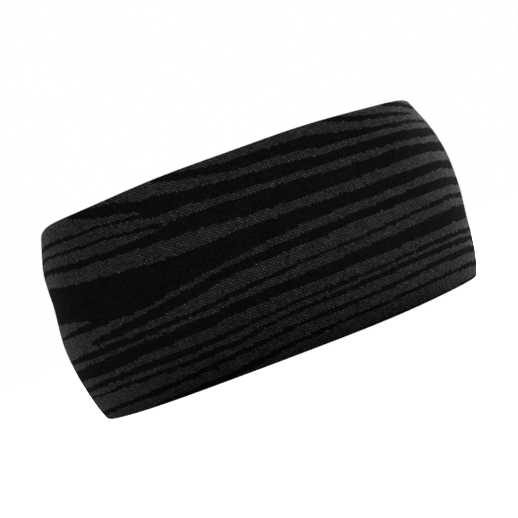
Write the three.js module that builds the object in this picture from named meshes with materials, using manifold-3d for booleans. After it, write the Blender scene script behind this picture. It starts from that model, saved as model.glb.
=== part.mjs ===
// Knitted sports headband, standing open on its lower edge.
//
// The band is two loops of knitted wool cloth. The patterned outer loop turns in
// over both edges and makes a hem inside; the plain lining fills the space between
// the two hems. A thread seam covers each join, another closes each loop at the
// centre back, and a blank care label hangs inside the back, sewn along its top.
//
// Millimetres. +X runs along the long side of the oval, the front is at -Y, the
// back seam at +Y, +Z is up, and the origin is under the middle of the oval.

import Module from "manifold-3d";
import * as THREE from "three";
import { mergeVertices } from "three/addons/utils/BufferGeometryUtils.js";

// the loop
const BAND_HEIGHT = 86;
const EDGE_HALF_LENGTH = 90;
const EDGE_HALF_DEPTH = 64;
const OVAL_POWER = 2.3;
const BARREL_BULGE = 6.5;
const LOOP_SEGMENTS = 64;
const WALL_LEVELS = 9;

// the two cloths
const OUTER_THICKNESS = 1.1;
const LINING_THICKNESS = 1;
const LAYER_GAP = 0.3;
const HEM_DEPTH = 7;
const HEM_THICKNESS = 2.4;
const EDGE_ROUNDING = 0.8;
const EDGE_SHOULDER = 0.25;
const LINING_CLEARANCE = 0.6;

// the threads
const EDGE_SEAM_HEIGHT = 1.6;
const EDGE_SEAM_THICKNESS = 0.5;
const BACK_SEAM_WIDTH = 3.8;
const BACK_SEAM_END = 1.5;
const BACK_GROOVE_DEPTH = 0.6;
const LINING_SEAM_THICKNESS = 0.4;
const LINING_SEAM_END = 9.5;

// the care label
const LABEL_WIDTH = 30;
const LABEL_THICKNESS = 0.5;
const LABEL_PLANE = 62.85;
const LABEL_FOLD_HEIGHT = 72.35;
const LABEL_DROP = 38;
const LABEL_SEWN_HEIGHT = 3.6;
const FLAP_TOP_GAP = 0.35;
const SEWN_EDGE_GAP = 0.55;
const LABEL_STITCH_WIDTH = 26;
const LABEL_STITCH_SIZE = 0.6;

// the colours
const OUTER_COLOUR = 0x26272a;
const LINING_COLOUR = 0x121214;
const THREAD_COLOUR = 0x0c0c0e;
const LABEL_COLOUR = 0xe9e7e1;

const wasm = await Module();
wasm.setup();

// How far the wall stands out from the edge's oval at a height.
function bulge(height) {
  const fromMiddle = (2 * height) / BAND_HEIGHT - 1;
  return BARREL_BULGE * (1 - fromMiddle * fromMiddle);
}

// The edge's oval and its outward direction, at an angle from +X.
function ovalPoint(angle) {
  const across = Math.abs(Math.cos(angle)) / EDGE_HALF_LENGTH;
  const along = Math.abs(Math.sin(angle)) / EDGE_HALF_DEPTH;
  const radius = (across ** OVAL_POWER + along ** OVAL_POWER) ** (-1 / OVAL_POWER);
  return new THREE.Vector2(radius * Math.cos(angle), radius * Math.sin(angle));
}

function ovalNormal(point) {
  const x = Math.sign(point.x) * Math.abs(point.x / EDGE_HALF_LENGTH) ** (OVAL_POWER - 1);
  const y = Math.sign(point.y) * Math.abs(point.y / EDGE_HALF_DEPTH) ** (OVAL_POWER - 1);
  return new THREE.Vector2(x / EDGE_HALF_LENGTH, y / EDGE_HALF_DEPTH).normalize();
}

function positionsOnly(geometry) {
  geometry.deleteAttribute("normal");
  geometry.deleteAttribute("uv");
  return mergeVertices(geometry, 1e-4);
}

// A section of [offset from the edge's oval, height] points, turned once round
// the axis and then pressed from a circle into the oval.
function loopOf(section) {
  const nominal = EDGE_HALF_LENGTH;
  const profile = section.map(([offset, height]) => new THREE.Vector2(nominal + offset, height));
  profile.push(profile[0].clone());
  const geometry = new THREE.LatheGeometry(profile, LOOP_SEGMENTS);
  geometry.rotateX(Math.PI / 2);
  const positions = geometry.attributes.position;
  for (let i = 0; i < positions.count; i += 1) {
    const x = positions.getX(i);
    const y = positions.getY(i);
    const point = ovalPoint(Math.atan2(y, x));
    const normal = ovalNormal(point);
    const offset = Math.hypot(x, y) - nominal;
    positions.setX(i, point.x + normal.x * offset);
    positions.setY(i, point.y + normal.y * offset);
  }
  const loop = positionsOnly(geometry);
  loop.computeVertexNormals();
  return loop;
}

// Heights from one level to another, both ends included.
function levels(from, to, count) {
  return Array.from({ length: count }, (_, i) => from + ((to - from) * i) / (count - 1));
}

function wall(offset, from, to, count) {
  return levels(from, to, count).map((height) => [bulge(height) + offset, height]);
}

// A strip at the centre back: a section in Y and Z that follows the wall between
// two offsets, as wide as stated along X.
function backStrip(inner, outer, from, to, width) {
  const front = wall(inner, from, to, WALL_LEVELS);
  const back = wall(outer, to, from, WALL_LEVELS);
  const outline = [...front, ...back].map(
    ([offset, height]) => new THREE.Vector2(EDGE_HALF_DEPTH + offset, height),
  );
  const geometry = new THREE.ExtrudeGeometry(new THREE.Shape(outline), {
    depth: width,
    bevelEnabled: false,
  });
  geometry.translate(0, 0, -width / 2);
  geometry.applyMatrix4(
    new THREE.Matrix4().makeBasis(
      new THREE.Vector3(0, 1, 0),
      new THREE.Vector3(0, 0, 1),
      new THREE.Vector3(1, 0, 0),
    ),
  );
  return positionsOnly(geometry);
}

function solidOf(geometry) {
  return new wasm.Manifold(
    new wasm.Mesh({
      numProp: 3,
      vertProperties: new Float32Array(geometry.attributes.position.array),
      triVerts: new Uint32Array(geometry.index.array),
    }),
  );
}

function geometryOf(solid) {
  const mesh = solid.getMesh();
  const geometry = new THREE.BufferGeometry();
  geometry.setAttribute("position", new THREE.BufferAttribute(mesh.vertProperties, 3));
  geometry.setIndex(new THREE.BufferAttribute(mesh.triVerts, 1));
  geometry.computeVertexNormals();
  return geometry;
}

function cloth(colour, roughness) {
  return new THREE.MeshStandardMaterial({ color: colour, roughness, metalness: 0 });
}

function piece(name, geometry, material) {
  const mesh = new THREE.Mesh(geometry, material);
  mesh.name = name;
  return mesh;
}

// The patterned outer loop, with its two hems and the ditch of its back seam.
function outerBand() {
  const top = BAND_HEIGHT;
  const hemTop = top - HEM_DEPTH;
  const innerRound = -HEM_THICKNESS + EDGE_ROUNDING * 0.75;
  const section = [
    [-EDGE_ROUNDING, 0],
    [-EDGE_SHOULDER, EDGE_SHOULDER],
    ...wall(0, EDGE_ROUNDING, top - EDGE_ROUNDING, WALL_LEVELS + 2),
    [-EDGE_SHOULDER, top - EDGE_SHOULDER],
    [-EDGE_ROUNDING, top],
    [innerRound, top],
    ...wall(-HEM_THICKNESS, top - EDGE_ROUNDING, hemTop, 2),
    ...wall(-OUTER_THICKNESS, hemTop, HEM_DEPTH, WALL_LEVELS),
    ...wall(-HEM_THICKNESS, HEM_DEPTH, EDGE_ROUNDING, 2),
    [innerRound, 0],
  ];
  const ditch = backStrip(
    -BACK_GROOVE_DEPTH,
    BARREL_BULGE,
    -1,
    top + 1,
    BACK_SEAM_WIDTH + 2 * LAYER_GAP,
  );
  const band = solidOf(loopOf(section)).subtract(solidOf(ditch));
  return piece("outer_band", geometryOf(band), cloth(OUTER_COLOUR, 0.95));
}

// The plain lining, between the two hems.
function liningBand() {
  const outer = -OUTER_THICKNESS - LAYER_GAP;
  const inner = outer - LINING_THICKNESS;
  const low = HEM_DEPTH + LINING_CLEARANCE;
  const high = BAND_HEIGHT - low;
  const section = [...wall(outer, low, high, WALL_LEVELS), ...wall(inner, high, low, WALL_LEVELS)];
  return piece("lining_band", loopOf(section), cloth(LINING_COLOUR, 0.95));
}

// The thread that covers a join between a hem and the lining.
function edgeSeamThread(name, middle) {
  const outer = -HEM_THICKNESS - LAYER_GAP;
  const inner = outer - EDGE_SEAM_THICKNESS;
  const low = middle - EDGE_SEAM_HEIGHT / 2;
  const high = middle + EDGE_SEAM_HEIGHT / 2;
  const section = [...wall(outer, low, high, 2), ...wall(inner, high, low, 2)];
  return piece(name, loopOf(section), cloth(THREAD_COLOUR, 0.8));
}

// The threads that close the two loops at the centre back.
function outerBackSeamThread() {
  const low = -BACK_GROOVE_DEPTH + LAYER_GAP;
  const strip = backStrip(low, 0, BACK_SEAM_END, BAND_HEIGHT - BACK_SEAM_END, BACK_SEAM_WIDTH);
  return piece("outer_back_seam_thread", strip, cloth(THREAD_COLOUR, 0.8));
}

function liningBackSeamThread() {
  const outer = -OUTER_THICKNESS - LINING_THICKNESS - 2 * LAYER_GAP;
  const inner = outer - LINING_SEAM_THICKNESS;
  const top = BAND_HEIGHT - LINING_SEAM_END;
  const strip = backStrip(inner, outer, LINING_SEAM_END, top, BACK_SEAM_WIDTH);
  return piece("lining_back_seam_thread", strip, cloth(THREAD_COLOUR, 0.8));
}

// The care label: a sewn edge that stays on the lining, the flap that hangs from
// its fold, and the line of stitching across the sewn edge.
function labelPlate(name, size, plane, middle, colour) {
  const mesh = piece(name, new THREE.BoxGeometry(...size), cloth(colour, 0.6));
  mesh.position.set(0, plane, middle);
  return mesh;
}

function careLabel() {
  const flapMiddle = LABEL_FOLD_HEIGHT - FLAP_TOP_GAP - LABEL_DROP / 2;
  const sewnMiddle = LABEL_FOLD_HEIGHT + SEWN_EDGE_GAP + LABEL_SEWN_HEIGHT / 2;
  const stitchPlane = LABEL_PLANE - (LABEL_THICKNESS + LABEL_STITCH_SIZE) / 2 - LAYER_GAP;
  const flapSize = [LABEL_WIDTH, LABEL_THICKNESS, LABEL_DROP];
  const sewnSize = [LABEL_WIDTH, LABEL_THICKNESS, LABEL_SEWN_HEIGHT];
  const stitchSize = [LABEL_STITCH_WIDTH, LABEL_STITCH_SIZE, LABEL_STITCH_SIZE];
  const label = new THREE.Group();
  label.add(
    labelPlate("care_label_flap", flapSize, LABEL_PLANE, flapMiddle, LABEL_COLOUR),
    labelPlate("care_label_sewn_edge", sewnSize, LABEL_PLANE, sewnMiddle, LABEL_COLOUR),
    labelPlate("care_label_stitching", stitchSize, stitchPlane, sewnMiddle, THREAD_COLOUR),
  );
  return label;
}

const seamMiddle = HEM_DEPTH + LINING_CLEARANCE / 2;
const headband = new THREE.Group();
headband.add(
  outerBand(),
  liningBand(),
  edgeSeamThread("upper_edge_seam_thread", BAND_HEIGHT - seamMiddle),
  edgeSeamThread("lower_edge_seam_thread", seamMiddle),
  outerBackSeamThread(),
  liningBackSeamThread(),
  careLabel(),
);

export default headband;
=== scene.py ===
# %% [markdown]
# # A knitted sports headband
#
# The band is two loops of knitted wool cloth, one inside the other. The outer cloth
# is a double-knit jacquard: near-black yarn with free-form charcoal stripes. It turns
# in over both edges, and a plain black lining is sewn between the two hems. This
# notebook builds each piece as cloth, thread or tape on the fixed CAD frame.
# The frame gives every place and size, so it is loaded first.

# %% Load the frame
import math

import bpy
import numpy as np
from mathutils import Matrix, Vector


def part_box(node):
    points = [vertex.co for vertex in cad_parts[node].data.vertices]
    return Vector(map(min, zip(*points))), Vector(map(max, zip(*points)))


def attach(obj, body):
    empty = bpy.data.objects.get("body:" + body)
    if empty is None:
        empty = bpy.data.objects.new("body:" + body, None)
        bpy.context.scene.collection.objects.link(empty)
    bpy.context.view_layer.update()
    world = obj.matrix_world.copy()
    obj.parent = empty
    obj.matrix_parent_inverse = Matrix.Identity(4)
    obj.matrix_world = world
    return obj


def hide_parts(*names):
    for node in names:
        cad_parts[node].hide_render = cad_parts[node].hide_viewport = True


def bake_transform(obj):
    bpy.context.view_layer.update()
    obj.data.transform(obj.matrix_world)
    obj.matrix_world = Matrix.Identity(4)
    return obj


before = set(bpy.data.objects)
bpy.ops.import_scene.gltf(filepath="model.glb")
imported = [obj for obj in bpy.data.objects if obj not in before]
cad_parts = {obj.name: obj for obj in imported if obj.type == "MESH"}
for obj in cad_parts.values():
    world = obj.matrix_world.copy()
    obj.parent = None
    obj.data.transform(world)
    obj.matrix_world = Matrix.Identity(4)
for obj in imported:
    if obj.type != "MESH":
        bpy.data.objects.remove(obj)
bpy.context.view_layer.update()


# %% [markdown]
# ## Sizes
#
# The oval and the height come from the frame's boxes. Cloth and stitch sizes are a
# knitter's: a fine double knit has about eleven wales and fourteen courses to the
# centimetre, so a wale is 0.92 mm wide and a course 0.70 mm high.

# %% Driving sizes
MM = 0.001
band_low, band_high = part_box("outer_band")
HEIGHT = band_high[2] - band_low[2]
BULGE = 6.5 * MM
EDGE_HALF_LENGTH = (band_high[0] - band_low[0]) / 2 - BULGE
EDGE_HALF_DEPTH = (band_high[1] - band_low[1]) / 2 - BULGE
OVAL_POWER = 2.3
WALE = 0.92 * MM
COURSE = 0.70 * MM
CLOTH_THICKNESS = 1.1 * MM
FOLD_RADIUS = 1.2 * MM
HEM_DEPTH = 7 * MM
LINING_THICKNESS = 1.0 * MM
LINING_INSET = 1.4 * MM
print("edge oval", EDGE_HALF_LENGTH, EDGE_HALF_DEPTH, "height", HEIGHT)

# %% [markdown]
# ## The camera
#
# The band is seen from a little left of its front, from below its middle, with a
# long lens held at a slant, so the loop seems to climb to the right. The camera is
# made first, because everything else is judged through it.

# %% Camera
CAMERA_AZIMUTH = math.radians(-16.93)
CAMERA_ELEVATION = math.radians(-1.09)
CAMERA_ROLL = math.radians(20.89)
CAMERA_DISTANCE = 0.5417
CAMERA_LENS = 82.86
AIM_RIGHT = -1.15 * MM
AIM_UP = -0.3 * MM


def placed(name, data):
    """A new object that holds this data, put in the scene."""
    made = bpy.data.objects.new(name, data)
    bpy.context.collection.objects.link(made)
    return made


def make_camera():
    back = Vector(
        (
            math.sin(CAMERA_AZIMUTH) * math.cos(CAMERA_ELEVATION),
            -math.cos(CAMERA_AZIMUTH) * math.cos(CAMERA_ELEVATION),
            math.sin(CAMERA_ELEVATION),
        )
    )
    level_right = Vector((math.cos(CAMERA_AZIMUTH), math.sin(CAMERA_AZIMUTH), 0))
    level_up = back.cross(level_right)
    right = level_right * math.cos(CAMERA_ROLL) - level_up * math.sin(CAMERA_ROLL)
    up = level_right * math.sin(CAMERA_ROLL) + level_up * math.cos(CAMERA_ROLL)
    aim = Vector((0, 0, HEIGHT / 2)) + right * AIM_RIGHT + up * AIM_UP
    place = aim + back * CAMERA_DISTANCE
    camera = placed("camera", bpy.data.cameras.new("camera"))
    camera.data.lens = CAMERA_LENS
    camera.data.clip_start = 0.01
    turn = Matrix((right, up, back)).transposed()
    camera.matrix_world = Matrix.Translation(place) @ turn.to_4x4()
    bpy.context.scene.camera = camera
    return place


print("camera at", make_camera())

# %% [markdown]
# ## The loop
#
# Round the band, a place is given by its distance from the front centre, measured
# along the wall's middle; across the band, by an offset out from the edge's oval and
# a height. Soft cloth never stands quite true, so one shared wander moves every
# layer together: a slow drift in and out and a slight rise and fall of the edges.

# %% Places on the loop
TABLE_STEPS = 7200
EDGE_PULL_REACH = 3.5 * MM


def bulge(height):
    return BULGE * (1 - (2 * height / HEIGHT - 1) ** 2)


def oval_table():
    angle = np.linspace(-1.5 * math.pi, 0.5 * math.pi, TABLE_STEPS + 1)
    along = np.abs(np.cos(angle)) / EDGE_HALF_LENGTH
    across = np.abs(np.sin(angle)) / EDGE_HALF_DEPTH
    radius = (along**OVAL_POWER + across**OVAL_POWER) ** (-1 / OVAL_POWER)
    point = np.stack([radius * np.cos(angle), radius * np.sin(angle)], 1)
    half = np.array([EDGE_HALF_LENGTH, EDGE_HALF_DEPTH])
    normal = np.sign(point) * np.abs(point / half) ** (OVAL_POWER - 1) / half
    normal /= np.linalg.norm(normal, axis=1)[:, None]
    step = np.diff(point + normal * BULGE, axis=0)
    distance = np.concatenate([[0], np.cumsum(np.hypot(step[:, 0], step[:, 1]))])
    return distance - distance[TABLE_STEPS // 2], point, normal


OVAL_DISTANCE, OVAL_POINT, OVAL_NORMAL = oval_table()
LOOP_LENGTH = OVAL_DISTANCE[-1] - OVAL_DISTANCE[0]


def swell(value, middle, width):
    """A smooth hump of height 1, in millimetres along one direction."""
    return np.exp(-(((value / MM - middle) / width) ** 2))


# Waves: size in mm, how many round the loop, start in radians, twist with height.
WALL_WAVES = [(0.35, 3, 0.7, 1.1), (0.25, 5, 2.1, -2.3)]
SLACK_FOLDS = [(0.9, 4, 0.3, 1.6), (0.6, 7, 1.0, -2.8)]
LOWER_EDGE_WAVES = [(0.18, 4, 4.2, 0)]
UPPER_EDGE_WAVES = [(0.35, 3, 1.9, 0), (0.15, 8, 0, 0)]
RIPPLE = 0.10
EDGE_PULL = 0.8
# Single humps and dents, in mm: size, distance round, reach, height, reach.
SHOULDER_AND_DENTS = [
    (1.5, 125, 40, 60, 17), (-1.5, -146, 20, 53, 12), (-0.8, -142, 20, 81, 8),
    (-0.7, 102, 14, 27, 9), (-0.7, 102, 14, 82, 7), (0.2, 102, 18, 4, 8),
]
# Lifts of an edge, in mm: size, distance round, reach. The foot is where it stands.
LOWER_LIFT, LOWER_LEFT, FOOT = 0.18, (0.4, -118, 32), (0.45, 32, 38)
UPPER_LIFT, UPPER_LEFT = 0.5, (0.9, -122, 34)


def waves(table, turn, up=0.0):
    return sum(size * np.sin(count * turn + start + twist * up) for size, count, start, twist in table)


def hump(around, size, middle, reach):
    return size * swell(around, middle, reach)


def drift(around, height):
    """How far the wall wanders outwards, in metres: a little in front, more at the slack back."""
    turn = 2 * math.pi * around / LOOP_LENGTH
    up = height / HEIGHT
    ripple = RIPPLE * np.sin(11 * turn + 4 * up) * np.sin(3 * up + 0.5)
    slack = ((1 - np.cos(turn)) / 2) ** 2
    pull = np.exp(-np.clip(height, 0, None) / EDGE_PULL_REACH)
    pull = pull + np.exp(-np.clip(HEIGHT - height, 0, None) / EDGE_PULL_REACH)
    dents = sum(
        hump(around, size, at, reach) * swell(height, level, spread)
        for size, at, reach, level, spread in SHOULDER_AND_DENTS
    )
    wave = waves(WALL_WAVES, turn, up) + slack * waves(SLACK_FOLDS, turn, up)
    return (wave + ripple - EDGE_PULL * pull + dents) * MM


def rise(around, height):
    """How far the cloth wanders upwards: never below the floor at the lower edge."""
    turn = 2 * math.pi * around / LOOP_LENGTH
    lower = LOWER_LIFT + waves(LOWER_EDGE_WAVES, turn) + hump(around, *LOWER_LEFT)
    lower = lower + FOOT[0] - hump(around, *FOOT)
    upper = UPPER_LIFT + waves(UPPER_EDGE_WAVES, turn) + hump(around, *UPPER_LEFT)
    return (lower + (upper - lower) * np.clip(height / HEIGHT, 0, 1)) * MM


def place(around, offset, height):
    """Points at distances round the loop, offsets outwards and heights, all alike in shape."""
    x, y = (np.interp(around, OVAL_DISTANCE, OVAL_POINT[:, i]) for i in (0, 1))
    normal_x, normal_y = (np.interp(around, OVAL_DISTANCE, OVAL_NORMAL[:, i]) for i in (0, 1))
    out = offset + drift(around, height)
    return np.stack([x + normal_x * out, y + normal_y * out, height + rise(around, height)], -1)


print("loop length in mm", round(LOOP_LENGTH / MM, 1))

# %% [markdown]
# ## Mesh helpers
#
# Cloth here is a grid whose every face is one stitch. A grid that closes both ways
# is a hollow ring: it goes up the face of the cloth and back down its reverse, so the
# cloth has a real thickness and no open edge.

# %% Grids that close into cloth
def signed_volume(points, faces):
    fan = [points[faces[:, [0, i, i + 1]]] for i in range(1, faces.shape[1] - 1)]
    return sum(float(np.einsum("ij,ij->", t[:, 0], np.cross(t[:, 1], t[:, 2]))) for t in fan)


def mesh_of(name, points, faces, corner_uv=None):
    mesh = bpy.data.meshes.new(name)
    turned = signed_volume(points, faces) < 0
    if turned:
        faces = faces[:, ::-1]
    mesh.from_pydata(points.tolist(), [], faces.tolist())
    if corner_uv is not None:
        layer = mesh.uv_layers.new(name="stitch")
        corners = corner_uv[:, ::-1] if turned else corner_uv
        layer.data.foreach_set("uv", corners.astype(np.float32).ravel())
    mesh.polygons.foreach_set("use_smooth", np.ones(len(faces), bool))
    return placed(name, mesh)


def ring_cloth(name, points):
    """A piece from a grid of points that closes along its rows and its columns."""
    rows, columns = points.shape[:2]
    row, column = np.meshgrid(np.arange(rows), np.arange(columns), indexing="ij")
    corner = [(0, 0), (0, 1), (1, 1), (1, 0)]
    faces = [(row + r) % rows * columns + (column + c) % columns for r, c in corner]
    uv = [np.stack([column + c, row + r], -1) for r, c in corner]
    faces = np.stack(faces, -1).reshape(-1, 4)
    return mesh_of(name, points.reshape(-1, 3), faces, np.stack(uv, -2).reshape(-1, 4, 2))


def evenly(path, step=None, count=None):
    """The points of a path, spaced evenly along it, and their distances."""
    length = np.concatenate([[0], np.cumsum(np.linalg.norm(np.diff(path, axis=0), axis=1))])
    count = count or int(round(length[-1] / step)) + 1
    at = np.linspace(0, length[-1], count)
    return np.stack([np.interp(at, length, path[:, i]) for i in range(path.shape[1])], 1), at


def outward(path):
    """The direction to the right of a path, in offset and height."""
    along = np.gradient(path, axis=0)
    side = np.stack([along[:, 1], -along[:, 0]], 1)
    return side / np.linalg.norm(side, axis=1)[:, None]


print("helpers ready")

# %% [markdown]
# ## The outer band's section
#
# The cloth starts at the inside of the lower edge, turns under it, climbs the wall,
# and turns in over the upper edge. Its reverse is the same path, one cloth's
# thickness inside. The chart height beside each row of stitches equals the wall's
# height and runs on past 0 and past the full height where the cloth turns in.

# %% Section of the outer band
FOLD_STEPS = 16
REVERSE_ROWS = 22


def half_turn(centre, start, end):
    angle = np.linspace(math.radians(start), math.radians(end), FOLD_STEPS)
    return np.stack([np.cos(angle), np.sin(angle)], 1) * FOLD_RADIUS + centre


def wall_line(shift, start, end, count=60):
    height = np.linspace(start, end, count)
    return np.stack([bulge(height) + shift, height], 1)


def outer_section():
    low, high = FOLD_RADIUS, HEIGHT - FOLD_RADIUS
    path = np.concatenate(
        [
            wall_line(-2 * FOLD_RADIUS, HEM_DEPTH, low, 12)[:-1],
            half_turn((bulge(low) - FOLD_RADIUS, low), -180, 0),
            wall_line(0, low, high)[1:-1],
            half_turn((bulge(high) - FOLD_RADIUS, high), 0, 180),
            wall_line(-2 * FOLD_RADIUS, high, HEIGHT - HEM_DEPTH, 12)[1:],
        ]
    )
    face, distance = evenly(path, step=COURSE)
    hem = HEM_DEPTH - low + math.pi * FOLD_RADIUS
    chart = (distance[:-1] + distance[1:]) / 2 - hem + low
    reverse, _ = evenly(face - outward(face) * CLOTH_THICKNESS, count=REVERSE_ROWS)
    return face, reverse[::-1], chart


face_rows, reverse_rows, chart_heights = outer_section()
WALES = int(round(LOOP_LENGTH / WALE))
print("courses", len(chart_heights), "wales", WALES)

# %% [markdown]
# ## The stripe chart
#
# A jacquard knitter draws the design as a chart: which stitches are black. The
# stripes run round the band like strata, so each black stripe is a short list of
# (distance round from the front centre, lower height, upper height), in millimetres,
# with straight runs between. Where it starts or ends it tapers to a point.

# %% The chart of black stripes
BLACK_STRIPES = {
    "crown_back_left": [(-270, 80, 84), (-230, 82, 86), (-200, 84, 88), (-160, 85.8, 88)],
    "crown_back_right": [(190, 86, 88), (220, 83.5, 88), (250, 81.5, 86), (270, 80.5, 84.5)],
    "crown_far": [
        (64, 86, 88), (70, 85, 88), (75, 84.3, 87), (80, 83.4, 86.4), (90, 82.1, 85),
        (110, 80.8, 83), (140, 79, 81), (180, 79.5, 79.8),
    ],
    "crown_right": [
        (27, 85.9, 88), (34, 84.6, 88), (40, 82.7, 85.4), (50, 81.8, 84.1), (60, 80.9, 83),
        (70, 79.8, 81.8), (80, 79.1, 80.8), (85, 79.1, 79.6),
    ],
    "crown": [
        (-52, 85.9, 88), (-46, 84.2, 88), (-40, 82.5, 85.6), (-30, 81, 84.6), (-20, 79, 83.5),
        (0, 78.2, 83.1), (10, 77.5, 82.8), (20, 76, 82.1), (30, 75.7, 80.4), (40, 75.7, 79.1),
        (50, 75.7, 77.9), (60, 75.3, 77.6), (80, 75, 76.4), (98, 73.6, 75),
    ],
    "crown_back": [(99, 73.5, 74.9), (150, 72, 75), (200, 72.5, 77.5), (240, 74, 78), (270, 75, 77.5)],
    "upper": [
        (-98, 85.8, 88), (-90, 84, 88), (-80, 81, 86), (-70, 79.3, 84.3), (-62, 77, 81.5),
        (-60, 72.6, 80.7), (-50, 72.3, 80.2), (-40, 71.9, 77.9), (-20, 70.1, 75.9), (0, 69.4, 74.7),
        (20, 68.5, 72.7), (60, 68.4, 73.1), (80, 67.3, 71.9), (100, 67.1, 70.9), (140, 66, 69),
        (190, 67, 69.2), (230, 67.9, 68.4),
    ],
    "upper_thread": [
        (-270, 74, 75.5), (-220, 76, 78), (-170, 78, 79.6), (-120, 78, 80.1), (-100, 77.4, 79.1),
        (-80, 76.8, 78.1), (-70, 75.4, 76.8), (-61, 73.6, 75.6),
    ],
    "second_thread": [
        (-200, 72.4, 72.8), (-160, 73, 74.8), (-120, 73.3, 74.7), (-100, 72.2, 73.6),
        (-80, 71.2, 72.7), (-70, 69.8, 71.4), (-60, 68.2, 70), (-54, 67, 69.5),
    ],
    "brow": [
        (-270, 64, 68), (-220, 65.5, 70.5), (-170, 67, 71), (-130, 67.6, 70), (-120, 67.1, 69.3),
        (-100, 64.9, 67.7), (-80, 63.8, 66.8), (-55, 61.9, 66.6), (-50, 61.6, 68.4), (-40, 61.2, 68.4),
        (-20, 59.5, 67.4), (0, 58.9, 66.7), (20, 58.8, 65.3), (60, 60.5, 65.7), (80, 59.9, 64.5),
        (100, 58.7, 63.6), (140, 57, 61.5), (190, 58.5, 63), (230, 60, 64.5), (270, 61, 64),
    ],
    "broad": [
        (-270, 50, 56), (-220, 48.5, 59), (-170, 47, 62), (-130, 46, 62.2), (-110, 44.6, 59.9),
        (-100, 42.9, 59), (-98, 39.5, 58.8), (-80, 39.6, 57.3), (-70, 39.9, 56.3), (-60, 41.7, 55.3),
        (-50, 43.1, 54.6), (-40, 44.6, 54.7), (-20, 47.1, 55.4), (0, 48.8, 55.1), (20, 49.6, 54.9),
        (50, 50.4, 55.2), (80, 51.7, 55.4), (100, 49.9, 54), (140, 48, 51.5), (190, 49, 53.5),
        (230, 50, 55), (270, 51.5, 54),
    ],
    "broad_thread": [
        (-215, 41.5, 42), (-170, 39.5, 42), (-130, 39.5, 40.7), (-110, 39.1, 41.6), (-97, 39.4, 42.2),
    ],
    "tongue": [
        (-104, 33, 34.7), (-100, 32.7, 34.9), (-90, 32.9, 36.3), (-70, 34.2, 38.3), (-50, 36.7, 40.9),
        (-40, 38.9, 42.8), (-20, 40.8, 44.5), (0, 41.2, 45.3), (20, 42.7, 46), (60, 43.6, 47.6),
        (80, 43.6, 47.4), (100, 42.4, 46), (140, 40, 43), (200, 41, 42.2), (225, 41.3, 41.7),
    ],
    "back_tongue": [(-270, 33, 37), (-220, 34, 36.5), (-175, 35.3, 35.8)],
    "middle_thread": [
        (-270, 26, 28), (-200, 27, 30.2), (-130, 28, 30), (-100, 28.2, 31.3), (-80, 28.8, 31.3),
        (-50, 30.1, 31.9), (-40, 31, 33.3), (-20, 33.1, 34.8), (0, 34.6, 35.7), (20, 35.2, 36.7),
        (50, 37, 38.3), (80, 37.6, 39.9), (100, 36.6, 38.9), (150, 34, 37.5), (200, 34.5, 38.2),
        (270, 35, 38),
    ],
    "lower": [
        (-270, 18, 23), (-200, 19, 25.5), (-130, 20, 25), (-100, 20.4, 26.3), (-80, 22.2, 27.6),
        (-60, 23, 27.9), (-50, 23.3, 27.9), (-40, 24.7, 29), (-20, 25.9, 30), (0, 26, 30.7), (40, 27, 32.5),
        (80, 27.6, 34.2), (100, 27.4, 33.3), (150, 25.5, 29), (210, 27, 30.5), (270, 28, 30),
    ],
    "third_thread": [
        (-270, 12.5, 14.5), (-200, 13.5, 16.5), (-130, 14.6, 16.8), (-100, 16, 18.4), (-60, 16.3, 18.9),
        (-40, 17.7, 19.6), (-30, 19.1, 20.4), (-10, 20.4, 21.8), (20, 20.9, 22.2), (50, 22.1, 23.7),
        (80, 21.7, 23.6), (100, 20.8, 23), (150, 19.5, 22.5), (210, 20.5, 24.5), (270, 21, 24),
    ],
    "fourth_thread": [
        (-180, 10.6, 11), (-130, 11.5, 12.5), (-105, 12, 13.2), (-100, 12.4, 14.2), (-60, 12.1, 14.2),
        (-40, 13, 15), (-30, 14.9, 16.6), (-20, 16.3, 17.7), (0, 16.8, 18.7), (40, 18.3, 20.2),
        (80, 17.8, 20.2), (100, 16.8, 19), (150, 14.5, 16.5), (210, 15, 17), (250, 15.7, 16.1),
    ],
    "fifth_thread": [
        (-270, 6.5, 10), (-200, 4.5, 7), (-140, 2.5, 4.2), (-130, 3, 4.8), (-100, 4.6, 6.6), (-80, 5.4, 7.6),
        (-60, 6.8, 8.9), (-40, 8.5, 10.6), (-30, 9.7, 11.5), (-20, 10.7, 12.7), (0, 11.6, 13.5),
        (20, 11.8, 13.5), (50, 13.3, 15.2), (80, 12.7, 15.5), (100, 11.4, 14.7), (150, 9, 11.5),
        (210, 9.5, 12.5), (270, 10.5, 12.5),
    ],
    "lowest_thread": [
        (-88, 0.6, 1.4), (-60, 1, 2.7), (-50, 0.9, 2.7), (-40, 1.5, 4.6), (-30, 3.2, 5.2),
        (-20, 4.6, 6.3), (0, 6, 7.4), (20, 6.6, 7.8), (50, 7.2, 8.8), (80, 6.4, 8.6), (100, 5.4, 7.8),
        (150, 4, 6), (210, 4.5, 7.5), (270, 5.5, 8),
    ],
    "lower_edge": [(-14, -4, 0), (0, -4, 0.8), (60, -4, 1), (100, -4, 1.6), (150, -4, 1.2), (200, -4, 0)],
    "lower_edge_back": [(-270, -4, 2.5), (-220, -4, 1.5), (-180, -4, 0)],
    "lower_hem": [(-270, -7.4, -5.6), (0, -7, -5.8), (270, -7.4, -5.2)],
    "upper_hem": [(-270, 90.2, 92.4), (0, 90.8, 92), (270, 90.4, 92.6)],
}
print("black stripes", len(BLACK_STRIPES))

# %% [markdown]
# ## From chart to stitches
#
# A charcoal zone is a bird's-eye: black and grey stitches take turns along every
# row and up every column, so it looks mid-grey with a fine grain. Each stitch takes
# one yarn whole, which steps the stripes' edges. Wool is dyed unevenly and spun
# unevenly, so every stitch also gets its own small lightness.

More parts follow.
